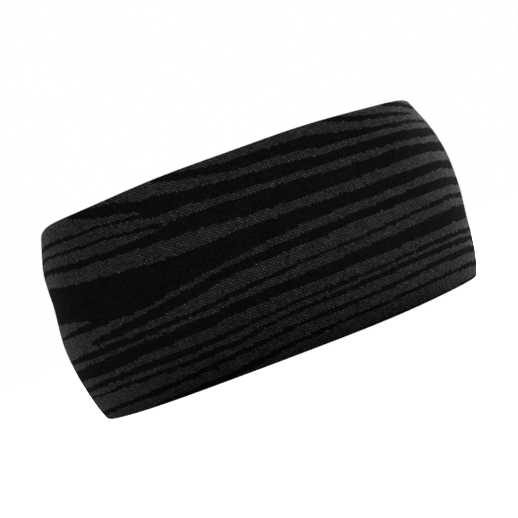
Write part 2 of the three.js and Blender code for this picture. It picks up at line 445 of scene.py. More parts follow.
# %% Yarn of every stitch
GREY_STITCH = 1.0
BLACK_STITCH_IN_GREY = 0.3
BLACK_STITCH = 0.0
SHOWN_THROUGH = 0.05
EDGE_STEP = 0.11
EDGE_RUN = 2
HEATHER_SPREAD = 0.3
BRIGHTEST_STITCH = 1.9


def stepped_edge(rng, around, at, height):
    """A stripe's edge along the wales, moved up or down a little every few wales."""
    runs = rng.normal(0, EDGE_STEP, len(around) // EDGE_RUN + 1)
    return np.interp(around, at, height) + np.repeat(runs, EDGE_RUN)[: len(around)]


def stitch_yarns(around, heights, seed):
    """The yarn of each stitch, 0 black to 1 grey, for wales round and courses up, in mm."""
    rng = np.random.default_rng(seed)
    height = heights[:, None]
    black = np.zeros((len(heights), len(around)), bool)
    for stripe in BLACK_STRIPES.values():
        at, low, high = np.array(stripe, float).T
        inside = (around >= at[0]) & (around <= at[-1])
        above = height > stepped_edge(rng, around, at, low)
        below = height < stepped_edge(rng, around, at, high)
        black |= inside & above & below
    row, column = np.indices(black.shape)
    birdseye = np.where((row + column) % 2 == 0, GREY_STITCH, BLACK_STITCH_IN_GREY)
    heather = rng.normal(1, HEATHER_SPREAD, black.shape)
    black_stitch = np.where((row + column) % 2 == 0, SHOWN_THROUGH, BLACK_STITCH)
    return np.where(black, black_stitch, birdseye * heather).clip(0, BRIGHTEST_STITCH)


def heather_of(shape, seed):
    return np.random.default_rng(seed).random(shape)


wale_centres = (np.arange(WALES) + 0.5) / WALES * LOOP_LENGTH - LOOP_LENGTH / 2
yarns = stitch_yarns(wale_centres / MM, chart_heights / MM, seed=11)
print("stitches", yarns.size, "of them grey", int((yarns > 0.5).sum()))

# %% [markdown]
# ## The outer band
#
# The loop is cut from flat cloth and closed by a flat seam at the centre back, so
# the wall dips into a shallow ditch there, with a soft pucker at every few stitches.
# The rest is the section carried round the oval, one column of points to a wale.

# %% Make the outer band
DITCH_DEPTH = 0.45 * MM
DITCH_HALF_WIDTH = 2.0 * MM
SEAM_ALLOWANCE = 6.0 * MM
PUCKER = 0.10 * MM
PUCKER_LENGTH = 4.8 * MM
UNEVEN = 0.035 * MM
SEAM_PAD = 0.25 * MM
REVERSE_YARN = 0.1


def back_seam_shape(around, height):
    """How far the back seam draws the wall in, in metres."""
    away = LOOP_LENGTH / 2 - np.abs(around)
    ditch = -DITCH_DEPTH * np.exp(-((away / DITCH_HALF_WIDTH) ** 4))
    pad = SEAM_PAD * np.exp(-(((away - SEAM_ALLOWANCE) / SEAM_ALLOWANCE) ** 2))
    ripple = PUCKER * np.sin(2 * math.pi * height / PUCKER_LENGTH) * np.exp(-away / SEAM_ALLOWANCE)
    return ditch + pad + ripple


def loop_grid(rows, count):
    """Distance round, offset and height of a grid: section rows carried round the loop."""
    around = np.arange(count) / count * LOOP_LENGTH - LOOP_LENGTH / 2
    around, offset = np.meshgrid(around, rows[:, 0])
    return around, offset, np.repeat(rows[:, 1][:, None], count, axis=1)


def outer_points():
    around, offset, height = loop_grid(np.concatenate([face_rows, reverse_rows]), WALES)
    jitter = np.random.default_rng(3).normal(0, UNEVEN, offset.shape)
    jitter[len(face_rows) - 1 :] = 0
    return place(around, offset + back_seam_shape(around, height) + jitter, height)


def store_on_faces(piece, **values):
    for name, value in values.items():
        layer = piece.data.attributes.new(name, "FLOAT", "FACE")
        layer.data.foreach_set("value", value.astype(np.float32).ravel())


def knit(name, points, yarn, shown, seed):
    """A ring of cloth with its yarn, the rows that show, and each stitch's own lightness."""
    cloth = ring_cloth(name, points)
    shows = np.zeros(points.shape[:2])
    shows[:shown] = 1
    store_on_faces(cloth, yarn=yarn, shows=shows, heather=heather_of(points.shape[:2], seed))
    return cloth


def make_outer_band():
    points = outer_points()
    yarn = np.full(points.shape[:2], REVERSE_YARN)
    yarn[: yarns.shape[0]] = yarns
    return knit("knitted_outer_band", points, yarn, yarns.shape[0], 5)


outer_band = make_outer_band()
print("outer band faces", len(outer_band.data.polygons))

# %% [markdown]
# ## The lining
#
# The lining is a plain single knit in black, a little thinner. It fills the space
# between the hems and has a back seam of its own. It is the same kind of ring, with
# wider stitches, because nothing on it is patterned.

# %% Make the lining
LINING_WALE = 1.25 * MM
LINING_COURSE = 1.0 * MM
LINING_END = HEM_DEPTH + 0.45 * MM
LINING_REVERSE_ROWS = 14


def lining_points():
    shift = -LINING_INSET - LINING_THICKNESS
    start, end = LINING_END, HEIGHT - LINING_END
    face, _ = evenly(wall_line(shift, end, start), step=LINING_COURSE)
    reverse, _ = evenly(wall_line(-LINING_INSET, start, end), count=LINING_REVERSE_ROWS)
    rows = np.concatenate([face, reverse])
    around, offset, height = loop_grid(rows, int(round(LOOP_LENGTH / LINING_WALE)))
    return place(around, offset, height), len(face) - 1


def make_lining():
    points, shown = lining_points()
    return knit("knitted_lining", points, np.zeros(points.shape[:2]), shown, 6)


lining = make_lining()
print("lining faces", len(lining.data.polygons))

# %% [markdown]
# ## Thread
#
# Sewing thread is a thin round strand. One stitch of a seam is a few short tubes,
# modelled once; Geometry Nodes then repeats it along the seam's path, because a seam
# is one stitch over and over at an even pitch.

# %% Tubes for stitches and fibres
def tube_parts(path, radii, sides):
    """Points and faces of a closed round tube along a short path."""
    path = np.asarray(path, float)
    along = np.gradient(path, axis=0)
    along /= np.linalg.norm(along, axis=1)[:, None]
    first = np.cross(along, (0.13, 0.31, 0.94))
    first /= np.linalg.norm(first, axis=1)[:, None]
    second = np.cross(along, first)
    angle = np.arange(sides) / sides * 2 * math.pi
    ring = np.cos(angle)[None, :, None] * first[:, None] + np.sin(angle)[None, :, None] * second[:, None]
    points = path[:, None] + ring * np.asarray(radii, float)[:, None, None]
    last = (len(path) - 1) * sides
    quads = [
        (i * sides + k, i * sides + (k + 1) % sides, (i + 1) * sides + (k + 1) % sides, (i + 1) * sides + k)
        for i in range(len(path) - 1)
        for k in range(sides)
    ]
    caps = [tuple(range(sides))[::-1], tuple(range(last, last + sides))]
    return points.reshape(-1, 3), quads + caps


def tubes(name, strands, sides):
    """One object from several (path, radii) strands."""
    points, faces = [], []
    for path, radii in strands:
        start = sum(len(p) for p in points)
        more, rings = tube_parts(path, radii, sides)
        points.append(more)
        faces += [tuple(start + k for k in face) for face in rings]
    mesh = bpy.data.meshes.new(name)
    mesh.from_pydata(np.concatenate(points).tolist(), [], faces)
    mesh.polygons.foreach_set("use_smooth", np.ones(len(faces), bool))
    return placed(name, mesh)


THREAD_RADIUS = 0.16 * MM


def strand(points, radius=THREAD_RADIUS, scale=MM):
    return np.array(points, float) * scale, np.full(len(points), radius)


def flat_seam_stitch():
    """Two needle threads and the looper thread that crosses between them, 2.2 mm long."""
    return tubes(
        "flat_seam_stitch",
        [
            strand([(-1.0, 1.3, 0), (-0.4, 1.3, 0.14), (0.4, 1.3, 0.14), (1.0, 1.3, 0)]),
            strand([(-1.0, -1.3, 0), (-0.4, -1.3, 0.14), (0.4, -1.3, 0.14), (1.0, -1.3, 0)]),
            strand([(-1.1, -1.35, 0.02), (-0.55, 0, 0.3), (0, 1.35, 0.02)]),
            strand([(0, 1.35, 0.02), (0.55, 0, 0.3), (1.1, -1.35, 0.02)]),
        ],
        5,
    )


def lock_stitch():
    """One straight stitch, 2.3 mm long, with its ends sunk in the cloth."""
    points = [(-1.15, 0, -0.15), (-0.7, 0, 0.13), (0.7, 0, 0.13), (1.15, 0, -0.15)]
    return tubes("lock_stitch", [strand(points)], 6)


print("stitch shapes ready")

# %% [markdown]
# ## Stitches along a path
#
# The tree resamples the path at the stitch pitch, puts one stitch on each point with
# its length along the path and its face out of the cloth, makes the copies real and
# gives them the thread's material.

# %% Geometry Nodes for a seam
def tree_with(name, sockets):
    tree = bpy.data.node_groups.new(name, "GeometryNodeTree")
    tree.interface.new_socket("Geometry", in_out="INPUT", socket_type="NodeSocketGeometry")
    for label, kind in sockets.items():
        tree.interface.new_socket(label, in_out="INPUT", socket_type=kind)
    tree.interface.new_socket("Geometry", in_out="OUTPUT", socket_type="NodeSocketGeometry")
    return tree, tree.nodes.new("NodeGroupInput"), tree.nodes.new("NodeGroupOutput")


def link(tree, source, target):
    tree.links.new(source, target)


def wire(tree, pairs):
    """Links from an output of one node to an input of another, many at once."""
    for source, output, target, socket in pairs:
        link(tree, source.outputs[output], target.inputs[socket])


def seam_tree():
    sockets = {"Pitch": "NodeSocketFloat", "Stitch": "NodeSocketObject", "Thread": "NodeSocketMaterial"}
    tree, given, result = tree_with("stitches along a path", sockets)
    curve = tree.nodes.new("GeometryNodeMeshToCurve")
    spaced = tree.nodes.new("GeometryNodeResampleCurve")
    spaced.mode = "LENGTH"
    stitch = tree.nodes.new("GeometryNodeObjectInfo")
    out = tree.nodes.new("GeometryNodeInputNamedAttribute")
    out.data_type = "FLOAT_VECTOR"
    out.inputs["Name"].default_value = "out"
    along = tree.nodes.new("GeometryNodeInputTangent")
    turn = tree.nodes.new("FunctionNodeAxesToRotation")
    turn.primary_axis, turn.secondary_axis = "Z", "X"
    copies = tree.nodes.new("GeometryNodeInstanceOnPoints")
    real = tree.nodes.new("GeometryNodeRealizeInstances")
    finish = tree.nodes.new("GeometryNodeSetMaterial")
    wire(tree, [
        (given, "Geometry", curve, "Mesh"), (curve, "Curve", spaced, "Curve"),
        (given, "Pitch", spaced, "Length"), (given, "Stitch", stitch, "Object"),
        (out, "Attribute", turn, "Primary Axis"), (along, "Tangent", turn, "Secondary Axis"),
        (spaced, "Curve", copies, "Points"), (stitch, "Geometry", copies, "Instance"),
        (turn, "Rotation", copies, "Rotation"), (copies, "Instances", real, "Geometry"),
        (real, "Geometry", finish, "Geometry"), (given, "Thread", finish, "Material"),
        (finish, "Geometry", result, "Geometry"),
    ])
    return tree


def made_by(name, carrier, tree, values):
    """The plain mesh that a tree makes on a carrier object."""
    modifier = carrier.modifiers.new("nodes", "NODES")
    modifier.node_group = tree
    for item in tree.interface.items_tree:
        if item.in_out == "INPUT" and item.name in values:
            modifier[item.identifier] = values[item.name]
    graph = bpy.context.evaluated_depsgraph_get()
    mesh = bpy.data.meshes.new_from_object(carrier.evaluated_get(graph), depsgraph=graph)
    carrier.modifiers.remove(modifier)
    mesh.name = name
    return placed(name, mesh)


SEAM_TREE = seam_tree()


def seam(name, path, out, closed, pitch, stitch, thread):
    """A row of stitches along path, each facing its out direction."""
    count = len(path)
    edges = [(i, (i + 1) % count) for i in range(count if closed else count - 1)]
    guide = bpy.data.meshes.new(name + "_path")
    guide.from_pydata(path.tolist(), edges, [])
    layer = guide.attributes.new("out", "FLOAT_VECTOR", "POINT")
    layer.data.foreach_set("vector", out.astype(np.float32).ravel())
    carrier = placed(name + "_path", guide)
    values = {"Pitch": pitch, "Stitch": stitch, "Thread": thread}
    piece = made_by(name, carrier, SEAM_TREE, values)
    bpy.data.objects.remove(carrier)
    return piece


print("seam tree nodes", len(SEAM_TREE.nodes))

# %% [markdown]
# ## Materials: knitted wool
#
# A knit stitch is a V: two short legs of yarn that lean together. The relief is
# worked out inside each stitch's own square of the UV map, where one unit is one
# stitch: a rounded ridge for each leg, a dip where the next stitch begins, and fine
# noise for loose fibres. Colour comes from the stitch's yarn, with painted shade in the dips.
# Wool's soft bloom at a glancing angle is sheen.

# %% Node helpers
def new_material(name):
    material = bpy.data.materials.new(name)
    material.use_nodes = True
    nodes = material.node_tree.nodes
    return material, material.node_tree, nodes["Principled BSDF"]


def maths(tree, operation, *values):
    node = tree.nodes.new("ShaderNodeMath")
    node.operation = operation
    for socket, value in zip(node.inputs, values):
        if isinstance(value, (int, float)):
            socket.default_value = value
        else:
            link(tree, value, socket)
    return node.outputs[0]


def attribute(tree, name):
    node = tree.nodes.new("ShaderNodeAttribute")
    node.attribute_name = name
    return node.outputs["Fac"]


def noise(tree, vector, scale, detail=2.0, roughness=0.5):
    node = tree.nodes.new("ShaderNodeTexNoise")
    node.inputs["Scale"].default_value = scale
    node.inputs["Detail"].default_value = detail
    node.inputs["Roughness"].default_value = roughness
    link(tree, vector, node.inputs["Vector"])
    return node.outputs["Fac"]


def object_place(tree):
    return tree.nodes.new("ShaderNodeTexCoord").outputs["Object"]


def mixed(tree, factor, first, second):
    node = tree.nodes.new("ShaderNodeMix")
    node.data_type = "RGBA"
    node.clamp_factor = False
    for socket, value in ((node.inputs[6], first), (node.inputs[7], second)):
        if isinstance(value, tuple):
            socket.default_value = (*value, 1)
        else:
            link(tree, value, socket)
    link(tree, factor, node.inputs[0])
    return node.outputs[2]


def bump(tree, height, distance, strength=1.0, under=None):
    node = tree.nodes.new("ShaderNodeBump")
    node.inputs["Distance"].default_value = distance
    node.inputs["Strength"].default_value = strength
    link(tree, height, node.inputs["Height"])
    if under is not None:
        link(tree, under, node.inputs["Normal"])
    return node.outputs["Normal"]


LONG_LEG = 0.8
LEG_ROUNDNESS = 1.6
LEG_FALL = 0.15
STREAK_ACROSS = 0.42
STREAK_ALONG = 0.06


def stitch_uv(tree, within=False):
    """Stitches counted across and up, or the place within one stitch's own square."""
    uv = tree.nodes.new("ShaderNodeUVMap")
    uv.uv_map = "stitch"
    source = uv.outputs["UV"]
    if within:
        inside = tree.nodes.new("ShaderNodeVectorMath")
        inside.operation = "FRACTION"
        link(tree, source, inside.inputs[0])
        source = inside.outputs[0]
    split = tree.nodes.new("ShaderNodeSeparateXYZ")
    link(tree, source, split.inputs[0])
    return split.outputs["X"], split.outputs["Y"]


def stitch_relief(tree):
    """The height of the V stitch in its own UV square, and where its long left leg is."""
    x, y = stitch_uv(tree, within=True)
    from_foot = maths(tree, "SUBTRACT", x, LONG_LEG)
    to_left = maths(tree, "MULTIPLY", from_foot, -1 / LONG_LEG)
    to_right = maths(tree, "MULTIPLY", from_foot, 1 / (1 - LONG_LEG))
    away = maths(tree, "MAXIMUM", to_left, to_right)
    across = maths(tree, "MULTIPLY_ADD", away, 2.0, -1.0)
    ridge = maths(tree, "MULTIPLY_ADD", maths(tree, "MULTIPLY", across, across), -LEG_FALL, 1.0)
    beside = maths(tree, "ABSOLUTE", maths(tree, "SUBTRACT", y, away))
    near = maths(tree, "SUBTRACT", 1.0, beside)
    round_leg = maths(tree, "POWER", near, LEG_ROUNDNESS)
    return maths(tree, "MULTIPLY", ridge, round_leg), maths(tree, "LESS_THAN", from_foot, 0.0)


def slant_streaks(tree):
    """Soft light and dark streaks that follow the long legs down to the right."""
    x, y = stitch_uv(tree)
    joined = tree.nodes.new("ShaderNodeCombineXYZ")
    for socket, operation, scale in (("X", "ADD", STREAK_ACROSS), ("Y", "SUBTRACT", STREAK_ALONG)):
        value = maths(tree, "MULTIPLY", maths(tree, operation, x, y), scale)
        link(tree, value, joined.inputs[socket])
    return noise(tree, joined.outputs[0], 1.0, 2.0)


print("node helpers ready")

# %% [markdown]
# ## The two wools
#
# Black and charcoal are one cloth, and the yarn attribute picks the colour. Pale
# fibres catch light at a glancing angle, so the charcoal wool gets a soft bloom
# (sheen). Black gets none: even a little turns the ends of the band grey. Yarn is never
# even, so its lightness is multiplied by the stitch's own heather, its fibres, a slow
# cloud, and streaks along the long legs. It is also multiplied by painted light: a
# painted highlight on the long left leg of each V and painted shade in the V's dips.

# %% Knitted wool
SPECULAR_OF_WOOL = 0.0
CHARCOAL_BLOOM = 0.035
CHARCOAL_FROM = 0.1
# Each influence on lightness: how much it adds, and where it starts.
# Painted highlight: the long left leg of every stitch is made lighter, as if lit from its side.
LEG_PAINTED_LIGHT = (0.2, 0.85)
# Painted shade: the stitch is darker where its relief is low, in the dips of the V.
DIP_PAINTED_SHADE = (1.5, 0.35)
HEATHER_LIGHT = (0.5, 0.75)
FIBRE_LIGHT = (3.8, -0.9)
CLOUD_LIGHT = (0.3, 0.85)
STREAK_LIGHT = (0.7, 0.65)
DARKEST_FIBRE = 0.1
FIBRE_SCALE = 2600
CLOUD_SCALE = 55
FIBRE_RELIEF = 0.06 * MM


def lightness_with_painted_light(tree, height, left, fibre, spot):
    """All influences on the yarn's lightness, multiplied together, including a painted highlight on the long
    left leg and painted shade in the dips.
    """
    influences = [
        (left, LEG_PAINTED_LIGHT),
        (height, DIP_PAINTED_SHADE),
        (attribute(tree, "heather"), HEATHER_LIGHT),
        (noise(tree, spot, CLOUD_SCALE, 2.0), CLOUD_LIGHT),
        (slant_streaks(tree), STREAK_LIGHT),
    ]
    fuzzy = maths(tree, "MULTIPLY_ADD", fibre, *FIBRE_LIGHT)
    light = maths(tree, "MAXIMUM", fuzzy, DARKEST_FIBRE)
    for value, (more, start) in influences:
        light = maths(tree, "MULTIPLY", light, maths(tree, "MULTIPLY_ADD", value, more, start))
    return light


def knitted_wool(name, black, grey, relief, bloom):
    material, tree, shader = new_material(name)
    # height also sets painted shade in the dips; left marks the leg that gets a painted highlight.
    height, left = stitch_relief(tree)
    spot = object_place(tree)
    fibre = noise(tree, spot, FIBRE_SCALE, 3.0, 0.65)
    shaded = tree.nodes.new("ShaderNodeVectorMath")
    shaded.operation = "SCALE"
    link(tree, mixed(tree, attribute(tree, "yarn"), black, grey), shaded.inputs[0])
    # The base colour carries painted light: a lighter long left leg and darker dips.
    link(tree, lightness_with_painted_light(tree, height, left, fibre, spot), shaded.inputs["Scale"])
    link(tree, shaded.outputs[0], shader.inputs["Base Color"])
    link(tree, maths(tree, "MULTIPLY_ADD", fibre, 0.2, 0.75), shader.inputs["Roughness"])
    shader.inputs["Specular IOR Level"].default_value = SPECULAR_OF_WOOL
    shader.inputs["Sheen Weight"].default_value = bloom
    shader.inputs["Sheen Roughness"].default_value = 0.45
    shader.inputs["Sheen Tint"].default_value = (0.86, 0.87, 0.9, 1)
    fine = bump(tree, fibre, FIBRE_RELIEF)
    link(tree, bump(tree, height, relief, under=fine), shader.inputs["Normal"])
    return material


BLACK_YARN = (0.0090, 0.0090, 0.0092)
CHARCOAL_YARN = (0.0520, 0.0520, 0.0528)
OUTER_RELIEF = 0.28 * MM
LINING_RELIEF = 0.3 * MM
LINING_BLACK = (0.014, 0.014, 0.0145)
LINING_GREY = (0.04, 0.04, 0.04)
BLACK_WOOL = knitted_wool("black_wool", BLACK_YARN, CHARCOAL_YARN, OUTER_RELIEF, 0.0)
CHARCOAL_WOOL = knitted_wool("charcoal_wool", BLACK_YARN, CHARCOAL_YARN, OUTER_RELIEF, CHARCOAL_BLOOM)
LINING_KNIT = knitted_wool("lining_wool", LINING_BLACK, LINING_GREY, LINING_RELIEF, 0.0)
print("knit materials", BLACK_WOOL.name, CHARCOAL_WOOL.name, LINING_KNIT.name)

# %% [markdown]
# ## Materials: thread, label tape and fibres
#
# Polyester thread is smoother than wool and shows its twist as fine slanting lines: a bump, and a painted
# highlight that makes the twist's raised ridges paler.
# The care label is a woven satin tape: warp floats run along it, with a tighter
# woven edge. Loose wool fibres are thin, pale and translucent.

# %% Thread, tape and fibre
def twisted_thread(name, colour):
    material, tree, shader = new_material(name)
    twist = tree.nodes.new("ShaderNodeTexWave")
    twist.bands_direction = "DIAGONAL"
    twist.inputs["Scale"].default_value = 900
    twist.inputs["Distortion"].default_value = 2.0
    spot = object_place(tree)
    link(tree, spot, twist.inputs["Vector"])
    # Painted highlight: the raised ridges of the twist are paler than the thread's own colour.
    painted_twist_highlight = tuple(2.2 * value for value in colour)
    link(tree, mixed(tree, twist.outputs["Fac"], colour, painted_twist_highlight), shader.inputs["Base Color"])
    shader.inputs["Roughness"].default_value = 0.5
    shader.inputs["Sheen Weight"].default_value = 0.1
    link(tree, bump(tree, twist.outputs["Fac"], 0.04 * MM), shader.inputs["Normal"])
    return material


WARP_ENDS = 110
WEFT_PICKS = 190
WOVEN_EDGE = 0.455


def satin_tape(name, colour):
    material, tree, shader = new_material(name)
    x, y = stitch_uv(tree)
    warp = maths(tree, "SINE", maths(tree, "MULTIPLY", x, 2 * math.pi * WARP_ENDS))
    weft = maths(tree, "SINE", maths(tree, "MULTIPLY", y, 2 * math.pi * WEFT_PICKS))
    weave = maths(tree, "MULTIPLY_ADD", maths(tree, "MULTIPLY", warp, weft), 0.5, 0.5)
    from_middle = maths(tree, "ABSOLUTE", maths(tree, "SUBTRACT", x, 0.5))
    edge = maths(tree, "GREATER_THAN", from_middle, WOVEN_EDGE)
    cloud = noise(tree, object_place(tree), 160, 3.0)
    tone = maths(tree, "MULTIPLY_ADD", weave, 0.35, maths(tree, "MULTIPLY", cloud, 0.35))
    tone = maths(tree, "ADD", tone, maths(tree, "MULTIPLY", edge, 0.35))
    darker = tuple(0.8 * value for value in colour)
    link(tree, mixed(tree, tone, colour, darker), shader.inputs["Base Color"])
    shader.inputs["Roughness"].default_value = 0.42
    shader.inputs["Anisotropic"].default_value = 0.4
    shader.inputs["Sheen Weight"].default_value = 0.2
    link(tree, bump(tree, weave, 0.03 * MM), shader.inputs["Normal"])
    return material


def wool_fibre(name, black, grey):
    material, tree, shader = new_material(name)
    tone = maths(tree, "MULTIPLY_ADD", noise(tree, object_place(tree), 400, 1.0), 0.8, 0.6)
    yarn = maths(tree, "MULTIPLY", attribute(tree, "yarn"), tone)
    link(tree, mixed(tree, yarn, black, grey), shader.inputs["Base Color"])
    shader.inputs["Roughness"].default_value = 0.6
    shader.inputs["Specular IOR Level"].default_value = SPECULAR_OF_WOOL
    shader.inputs["Sheen Weight"].default_value = 0.0
    return material


SEAM_THREAD = twisted_thread("seam_thread", (0.016, 0.016, 0.017))
LABEL_TAPE = satin_tape("label_tape", (0.93, 0.92, 0.89))
FIBRE = wool_fibre("loose_wool", (0.010, 0.010, 0.0105), (0.06, 0.06, 0.061))
HAIR = wool_fibre("pale_hair", (0.05, 0.05, 0.05), (0.12, 0.12, 0.12))
lining.data.materials.append(LINING_KNIT)
print("thread, tape and fibre materials ready")

# %% [markdown]
# ## Dress the outer band
#
# Every face of the outer band already knows its yarn, so the same number also picks
# its wool: faces above a small limit are charcoal, all others black.

# %% Choose the wool of every stitch
def dress_by_yarn(cloth, black, charcoal):
    cloth.data.materials.append(black)
    cloth.data.materials.append(charcoal)
    yarn = np.zeros(len(cloth.data.polygons), np.float32)
    cloth.data.attributes["yarn"].data.foreach_get("value", yarn)
    cloth.data.polygons.foreach_set("material_index", (yarn > CHARCOAL_FROM).astype(np.int32))


dress_by_yarn(outer_band, BLACK_WOOL, CHARCOAL_WOOL)
print("materials", len(bpy.data.materials))

# %% [markdown]
# ## The seams
#
# Four seams hold the band: one round each edge inside, where hem meets lining, and
# one up the centre back of each cloth. All are flat seams, as sportswear has, so
# nothing rubs. Each path follows the cloth's own places, a hair above its surface.

# %% Sew the seams
SEAM_PITCH = 2.2 * MM
ABOVE_CLOTH = 0.1 * MM
EDGE_PATH_POINTS = 500
BACK_PATH_POINTS = 90


def edge_seam(name, height):
    around = np.linspace(-LOOP_LENGTH / 2, LOOP_LENGTH / 2, EDGE_PATH_POINTS, endpoint=False)
    offset = np.full(EDGE_PATH_POINTS, bulge(height) - 2 * FOLD_RADIUS - ABOVE_CLOTH)
    path = place(around, offset, np.full(EDGE_PATH_POINTS, height))
    deeper = place(around, offset - MM, np.full(EDGE_PATH_POINTS, height))
    out = (deeper - path) / MM
    return seam(name, path, out, True, SEAM_PITCH, FLAT_STITCH, SEAM_THREAD)


def back_seam(name, shift, start, end, facing):
    height = np.linspace(start, end, BACK_PATH_POINTS)
    around = np.full(BACK_PATH_POINTS, LOOP_LENGTH / 2 - 0.01 * MM)
    path = place(around, bulge(height) + shift, height)
    out = np.repeat([[0.0, facing, 0.0]], BACK_PATH_POINTS, axis=0)
    return seam(name, path, out, False, SEAM_PITCH, FLAT_STITCH, SEAM_THREAD)


FLAT_STITCH = flat_seam_stitch()
joint_height = (HEM_DEPTH + LINING_END) / 2
upper_seam = edge_seam("upper_edge_seam", HEIGHT - joint_height)
lower_seam = edge_seam("lower_edge_seam", joint_height)
outer_seam = back_seam("outer_back_seam", -DITCH_DEPTH + ABOVE_CLOTH, 1.5 * MM, HEIGHT - 1.5 * MM, 1)
lining_shift = -LINING_INSET - LINING_THICKNESS - ABOVE_CLOTH
lining_seam = back_seam("lining_back_seam", lining_shift, 9.5 * MM, HEIGHT - 9.5 * MM, -1)
bpy.data.objects.remove(FLAT_STITCH)
print("edge seam faces", len(upper_seam.data.polygons), "back seam faces", len(outer_seam.data.polygons))

# %% [markdown]
# ## The care label
#
# A care label is a short length of woven tape, folded double and sewn in along its
# two ends, so it makes a flat loop that can be lifted. It is a single strip of
# cloth: down the front, round the fold and back up behind. This one is blank.

# %% Make the care label
flap_low, flap_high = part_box("care_label_flap")
sewn_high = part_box("care_label_sewn_edge")[1]
LABEL_WIDTH = flap_high[0] - flap_low[0]
LABEL_PLANE = (flap_low[1] + flap_high[1]) / 2
TAPE_THICKNESS = 0.18 * MM
TAPE_GAP = 0.2 * MM
LABEL_COLUMNS = 30
LABEL_ROWS = 120
LABEL_CURL = 2.2 * MM
LABEL_BEND = 2.4 * MM
LABEL_CUP = 0.9 * MM
LABEL_RIPPLE = 0.25 * MM


def slab(name, grid, thickness):
    """A closed piece of cloth from a grid of points."""
    rows, columns = grid.shape[:2]
    normal = np.cross(np.gradient(grid, axis=0), np.gradient(grid, axis=1))
    normal /= np.linalg.norm(normal, axis=2)[..., None]
    layers = np.stack([grid + normal * thickness / 2, grid - normal * thickness / 2])
    index = np.arange(2 * rows * columns).reshape(2, rows, columns)
    top, under = index
    sheets = [
        np.stack([top[:-1, :-1], top[:-1, 1:], top[1:, 1:], top[1:, :-1]], -1),
        np.stack([under[:-1, :-1], under[1:, :-1], under[1:, 1:], under[:-1, 1:]], -1),
    ]
    sides = [index[:, 0, :-1], index[:, :-1, -1], index[:, -1, :0:-1], index[:, :0:-1, 0]]
    rim = np.concatenate(sides, axis=1)
    follow = np.roll(rim, -1, axis=1)
    walls = np.stack([rim[0], rim[1], follow[1], follow[0]], -1)
    faces = np.concatenate([sheet.reshape(-1, 4) for sheet in sheets] + [walls])
    row, column = np.meshgrid(np.linspace(0, 1, rows), np.linspace(0, 1, columns), indexing="ij")
    uv = np.tile(np.stack([column, row], -1).reshape(-1, 2), (2, 1))
    return mesh_of(name, layers.reshape(-1, 3), faces, uv[faces])


def label_path():
    """The tape's run in depth and height: down the front, round the fold, up behind."""
    step = (TAPE_THICKNESS + TAPE_GAP) / 2
    top, bottom = sewn_high[2], flap_low[2]
    down = np.linspace(top, bottom + step, LABEL_ROWS // 2)
    angle = np.linspace(0, math.pi, 10)[1:-1]
    fold = np.stack([-step * np.cos(angle), bottom + step - step * np.sin(angle)], 1)
    front = np.stack([np.full(len(down), -step), down], 1)
    behind = np.stack([np.full(len(down), step), down[::-1]], 1)
    return np.concatenate([front, fold, behind])


def lining_face_behind(across, height):
    """How far back the lining's face lies behind the label, in metres along y."""
    offset = bulge(height) - LINING_INSET - LINING_THICKNESS
    return place(LOOP_LENGTH / 2 - np.abs(across), offset, height)[..., 1]


def make_label():
    path, _ = evenly(label_path(), count=LABEL_ROWS)
    across = np.linspace(-LABEL_WIDTH / 2, LABEL_WIDTH / 2, LABEL_COLUMNS)
    x, z = np.meshgrid(across, path[:, 1])
    hang = np.clip((flap_high[2] - z) / (flap_high[2] - flap_low[2]), 0, 1)
    sewn = np.clip((z - flap_high[2]) / LABEL_BEND, 0, 1)
    sewn = sewn * sewn * (3 - 2 * sewn)
    against = lining_face_behind(x, z) - TAPE_THICKNESS - TAPE_GAP / 2
    cup = LABEL_CUP * hang * (2 * x / LABEL_WIDTH) ** 2
    ripple = LABEL_RIPPLE * hang * np.sin(x / LABEL_WIDTH * 7 + z / MM * 0.12)
    free = LABEL_PLANE - LABEL_CURL * hang**2.2 - cup + ripple
    y = free + (against - free) * sewn + path[:, 0][:, None]
    return slab("care_label", np.stack([x, y, z], -1), TAPE_THICKNESS)


care_label = make_label()
care_label.data.materials.append(LABEL_TAPE)
print("label box", [tuple(round(value, 4) for value in corner) for corner in care_label.bound_box][:1])

# %% [markdown]
# ## The label's stitching
#
# A row of plain lock stitches holds both ends of the tape to the lining. It follows
# the lining's own curve, just in front of the tape, and is made by the seams' tree
# with another stitch and pitch.

# %% Sew the label's edge
LABEL_PATH_POINTS = 40
LABEL_STITCH_PITCH = 2.9 * MM


def label_stitches():
    low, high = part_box("care_label_stitching")
    across = np.linspace(low[0] + MM, high[0] - MM, LABEL_PATH_POINTS)
    height = np.full(LABEL_PATH_POINTS, (low[2] + high[2]) / 2)
    front = lining_face_behind(across, height) - 2 * (TAPE_THICKNESS + TAPE_GAP)
    path = np.stack([across, front, height], 1)
    out = np.repeat([[0.0, -1.0, 0.0]], LABEL_PATH_POINTS, axis=0)
    stitch = lock_stitch()
    piece = seam("care_label_stitches", path, out, False, LABEL_STITCH_PITCH, stitch, SEAM_THREAD)
    bpy.data.objects.remove(stitch)
    return piece


label_seam = label_stitches()
print("label stitch faces", len(label_seam.data.polygons))

# %% [markdown]
# ## Loose fibres
#
# Wool yarn is hairy. Thousands of fine fibres stand off the cloth, catch the light
# at its edges and blur its outline. Geometry Nodes scatters one bent fibre over the
# face of the cloth, each copy spun, leaned and sized at random from a fixed seed.

# %% Geometry Nodes for fibres
FIBRE_LENGTH = 1.7 * MM
FIBRE_RADIUS = 0.018 * MM
FIBRE_LEAN = 1.25
HAIR_LENGTH = 5.0 * MM
HAIR_RADIUS = 0.02 * MM
HAIR_LEAN = 0.12
SMALLEST_FIBRE, LARGEST_FIBRE = 0.45, 1.15
# Copies on a square metre of cloth.
OUTER_FIBRES, OUTER_HAIRS, LINING_FIBRES = 155000.0, 11000.0, 50000.0


